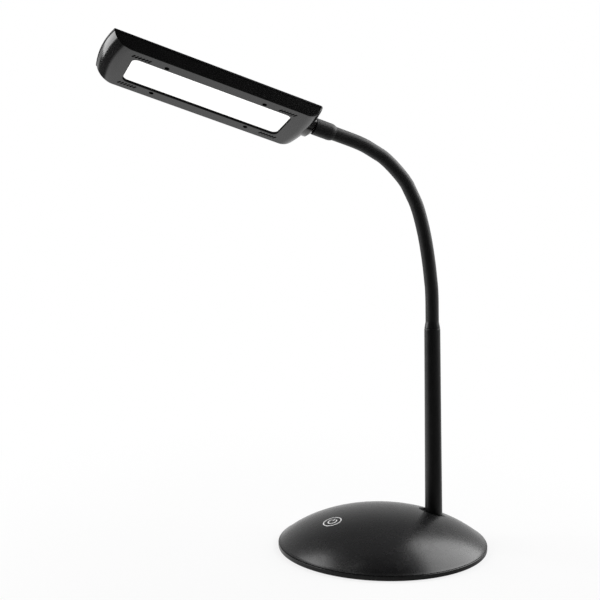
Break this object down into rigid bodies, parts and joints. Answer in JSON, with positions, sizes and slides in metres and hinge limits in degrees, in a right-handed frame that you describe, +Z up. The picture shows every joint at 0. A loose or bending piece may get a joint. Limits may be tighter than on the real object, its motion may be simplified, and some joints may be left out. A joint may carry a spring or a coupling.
{
  "type": "gooseneck desk lamp",
  "caption": "Desk lamp with a slim flat light head on a bendable gooseneck, a straight rod and a round domed base with a touch switch.",
  "frame": {"origin": "the middle of the rest face under the round base", "axes": "+Z up; -Y is the lamp's front, where the head reaches; +X is to the right when looking along +Y"},
  "size_m": [0.165, 0.2992, 0.3882],
  "materials": {
    "shell_black": "satin black moulded plastic",
    "neck_black": "glossy black moulded plastic",
    "rod_black": "satin black paint",
    "rubber_black": "matte black",
    "weight_iron": "bare casting",
    "steel": "bare steel",
    "screw_black": "black finish",
    "mark_white": "printed white",
    "foam_grey": "conductive foam",
    "board_green": "circuit board",
    "chip_black": "moulded parts",
    "spacer_white": "nylon",
    "diffuser_white": "lit opal sheet",
    "reflector_white": "matte white",
    "board_white": "white coated",
    "led_yellow": "phosphor"
  },
  "bodies": {
    "base": {"base_shell": "shell_black", "base_plate": "shell_black", "anti_slip_pad": "rubber_black", "plate_screws": "steel", "base_weight": "weight_iron", "touch_mark": "mark_white", "touch_contact": "foam_grey", "touch_board": "board_green", "board_chips": "chip_black", "board_spacers": "spacer_white", "power_socket": "chip_black", "power_socket_pin": "steel", "rod_tube": "rod_black", "rod_nipple": "steel", "rod_washer": "steel", "rod_nut": "steel", "rod_ferrule": "rod_black"},
    "link_1": {"gooseneck_core_1": "steel", "gooseneck_sleeve_1": "rubber_black"},
    "link_2_lower": {"gooseneck_core_2_lower": "steel", "gooseneck_sleeve_2_lower": "rubber_black"},
    "link_2_upper": {"gooseneck_core_2_upper": "steel", "gooseneck_sleeve_2_upper": "rubber_black"},
    "link_3": {"gooseneck_core_3": "steel", "gooseneck_sleeve_3": "rubber_black"},
    "link_4": {"gooseneck_core_4": "steel", "gooseneck_sleeve_4": "rubber_black"},
    "link_5_lower": {"gooseneck_core_5_lower": "steel", "gooseneck_sleeve_5_lower": "rubber_black"},
    "link_5_upper": {"gooseneck_core_5_upper": "steel", "gooseneck_sleeve_5_upper": "rubber_black"},
    "link_6": {"gooseneck_core_6": "steel", "gooseneck_sleeve_6": "rubber_black"},
    "link_7_lower": {"gooseneck_core_7_lower": "steel", "gooseneck_sleeve_7_lower": "rubber_black"},
    "link_7_upper": {"gooseneck_core_7_upper": "steel", "gooseneck_sleeve_7_upper": "rubber_black"},
    "link_8": {"gooseneck_core_8": "steel", "gooseneck_sleeve_8": "rubber_black"},
    "neck": {"neck_socket": "steel", "neck_collar": "shell_black", "swivel_clip": "steel"},
    "head": {"head_housing": "shell_black", "head_cover": "shell_black", "head_screws": "screw_black", "head_neck": "neck_black", "diffuser": "diffuser_white", "led_board": "board_white", "reflector_frame": "reflector_white", "leds": "led_yellow"}
  },
  "joints": [
    {"name": "bend_1", "type": "hinge", "parent": "base", "child": "link_1", "pos_m": [0, 0.0421, 0.17799], "axis": [1, 0, 0], "range_deg": [-18, 18]},
    {"name": "bend_2", "type": "hinge", "parent": "link_1", "child": "link_2_lower", "pos_m": [0, 0.04162, 0.20099], "axis": [1, 0, 0], "range_deg": [-24, 12]},
    {"name": "side_2", "type": "hinge", "parent": "link_2_lower", "child": "link_2_upper", "pos_m": [0, 0.04018, 0.2124], "axis": [0, 0.9921, 0.1253], "range_deg": [-18, 18]},
    {"name": "bend_3", "type": "hinge", "parent": "link_2_upper", "child": "link_3", "pos_m": [0, 0.03874, 0.22381], "axis": [1, 0, 0], "range_deg": [-21, 15]},
    {"name": "bend_4", "type": "hinge", "parent": "link_3", "child": "link_4", "pos_m": [0, 0.03467, 0.24645], "axis": [1, 0, 0], "range_deg": [-24, 12]},
    {"name": "bend_5", "type": "hinge", "parent": "link_4", "child": "link_5_lower", "pos_m": [0, 0.02825, 0.26853], "axis": [1, 0, 0], "range_deg": [-30, 6]},
    {"name": "side_5", "type": "hinge", "parent": "link_5_lower", "child": "link_5_upper", "pos_m": [0, 0.02281, 0.27867], "axis": [0, 0.8813, 0.4726], "range_deg": [-18, 18]},
    {"name": "bend_6", "type": "hinge", "parent": "link_5_upper", "child": "link_6", "pos_m": [0, 0.01738, 0.2888], "axis": [1, 0, 0], "range_deg": [-35, 1]},
    {"name": "bend_7", "type": "hinge", "parent": "link_6", "child": "link_7_lower", "pos_m": [0, 0.00106, 0.30501], "axis": [1, 0, 0], "range_deg": [-34, 2]},
    {"name": "side_7", "type": "hinge", "parent": "link_7_lower", "child": "link_7_upper", "pos_m": [0, -0.00902, 0.31055], "axis": [0, 0.4818, 0.8763], "range_deg": [-18, 18]},
    {"name": "bend_8", "type": "hinge", "parent": "link_7_upper", "child": "link_8", "pos_m": [0, -0.0191, 0.31609], "axis": [1, 0, 0], "range_deg": [-29.3, 6.7]},
    {"name": "bend_9", "type": "hinge", "parent": "link_8", "child": "neck", "pos_m": [0, -0.04103, 0.323], "axis": [1, 0, 0], "range_deg": [-18, 18]},
    {"name": "head_swivel", "type": "hinge", "parent": "neck", "child": "head", "pos_m": [0, -0.06058, 0.32917], "axis": [0, -0.9537, 0.3007], "range_deg": [-111, 69]}
  ]
}
